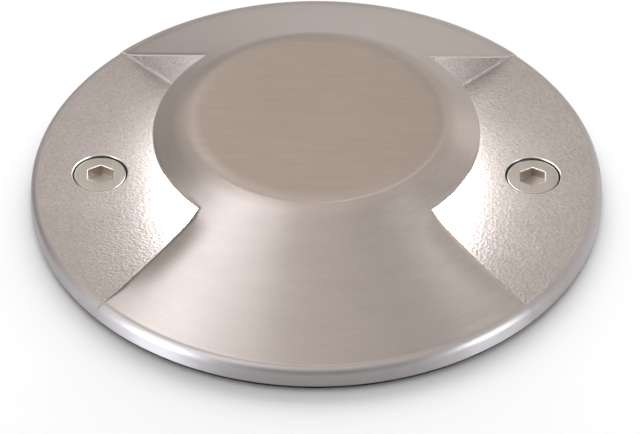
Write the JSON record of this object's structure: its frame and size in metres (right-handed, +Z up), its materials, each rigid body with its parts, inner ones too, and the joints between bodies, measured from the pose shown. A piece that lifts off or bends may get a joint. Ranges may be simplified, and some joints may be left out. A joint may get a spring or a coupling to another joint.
{
  "type": "recessed ground light",
  "caption": "Round in-ground light: drive-over steel cover with opposite light windows over a sealed LED housing that stands in a buried plastic sleeve.",
  "frame": {"origin": "centre of the sleeve's flat base", "axes": "+Z up through the cover's cap; the two light windows face -X and +X; the paving is at z 0.100"},
  "size_m": [0.11, 0.11, 0.1179],
  "materials": {
    "cast_steel": "brushed slope and cap, grainy cast pocket floors",
    "screw_steel": "satin",
    "small_screw_steel": "plain",
    "black_rubber": "matt",
    "pale_silicone": "matt",
    "insert_brass": "turned",
    "opal_plastic": "opal white, lit",
    "reflector_white": "white reflector",
    "led_phosphor": "yellow phosphor under a clear lens",
    "board_white": "white solder mask",
    "connector_ivory": "moulded",
    "turned_aluminium": "fine turned",
    "cast_aluminium": "die-cast, grey",
    "driver_black": "moulded, potted",
    "terminal_white": "moulded",
    "tinned_copper": "tinned",
    "lead_blue": "extruded",
    "lead_brown": "extruded",
    "lead_green": "green with a yellow stripe",
    "lead_black": "extruded",
    "lead_red": "extruded",
    "vent_black": "moulded",
    "nickel_plate": "nickel plated",
    "sleeve_plastic": "moulded, black",
    "plug_plastic": "moulded, black"
  },
  "bodies": {
    "sleeve": {"sleeve": "sleeve_plastic", "sleeve_grommet": "black_rubber", "sleeve_plug": "plug_plastic"},
    "luminaire": {"threaded_insert_left": "insert_brass", "threaded_insert_right": "insert_brass", "diffuser": "opal_plastic", "lens_gasket_upper": "pale_silicone", "lens_gasket_lower": "pale_silicone", "deflector": "reflector_white", "led_1": "led_phosphor", "led_2": "led_phosphor", "led_3": "led_phosphor", "led_4": "led_phosphor", "led_5": "led_phosphor", "led_6": "led_phosphor", "led_board": "board_white", "led_connector": "connector_ivory", "board_screw_1": "small_screw_steel", "board_screw_2": "small_screw_steel", "led_carrier": "turned_aluminium", "carrier_screw_1": "small_screw_steel", "carrier_screw_2": "small_screw_steel", "carrier_screw_3": "small_screw_steel", "carrier_screw_4": "small_screw_steel", "housing": "cast_aluminium", "housing_o_ring": "black_rubber", "driver": "driver_black", "driver_screw_1": "small_screw_steel", "driver_screw_2": "small_screw_steel", "terminal_block": "terminal_white", "earth_tag": "tinned_copper", "earth_screw": "small_screw_steel", "supply_lead_neutral": "lead_blue", "supply_lead_line": "lead_brown", "earth_lead": "lead_green", "led_lead_minus": "lead_black", "led_lead_plus": "lead_red", "vent_plug": "vent_black", "vent_seal": "black_rubber", "gland_body": "nickel_plate", "gland_flange_seal": "black_rubber", "gland_locknut": "nickel_plate"},
    "cover": {"cover": "cast_steel"},
    "washer_left": {"screw_washer_left": "black_rubber"},
    "washer_right": {"screw_washer_right": "black_rubber"},
    "screw_left": {"cover_screw_left": "screw_steel"},
    "screw_right": {"cover_screw_right": "screw_steel"},
    "gland_seal": {"gland_seal": "black_rubber"},
    "gland_nut": {"gland_nut": "nickel_plate"}
  },
  "joints": [
    {"name": "luminaire_lift", "type": "slide", "parent": "sleeve", "child": "luminaire", "axis": [0, 0, 1], "range_m": [0, 0.11]},
    {"name": "cover_lift", "type": "slide", "parent": "luminaire", "child": "cover", "axis": [0, 0, 1], "range_m": [0, 0.04]},
    {"name": "screw_lift_left", "type": "slide", "parent": "cover", "child": "washer_left", "axis": [0, 0, 1], "range_m": [0, 0.0108]},
    {"name": "screw_turn_left", "type": "hinge", "parent": "washer_left", "child": "screw_left", "pos_m": [-0.0416, 0, 0.103], "axis": [0, 0, 1], "range_deg": [0, 3888.1]},
    {"name": "screw_lift_right", "type": "slide", "parent": "cover", "child": "washer_right", "axis": [0, 0, 1], "range_m": [0, 0.0108]},
    {"name": "screw_turn_right", "type": "hinge", "parent": "washer_right", "child": "screw_right", "pos_m": [0.0416, 0, 0.103], "axis": [0, 0, 1], "range_deg": [0, 3888.1]},
    {"name": "gland_seal_drop", "type": "slide", "parent": "luminaire", "child": "gland_seal", "axis": [0, 0, -1], "range_m": [0, 0.008]},
    {"name": "gland_nut_turn", "type": "hinge", "parent": "gland_seal", "child": "gland_nut", "pos_m": [0, 0, 0.0169], "axis": [0, 0, -1], "range_deg": [0, 1920.1]}
  ],
  "couplings": [
    {"joint": "screw_turn_left", "follows": "screw_lift_left", "rad_per_m": 6283.2},
    {"joint": "screw_turn_right", "follows": "screw_lift_right", "rad_per_m": 6283.2},
    {"joint": "gland_nut_turn", "follows": "gland_seal_drop", "rad_per_m": 4188.8}
  ]
}
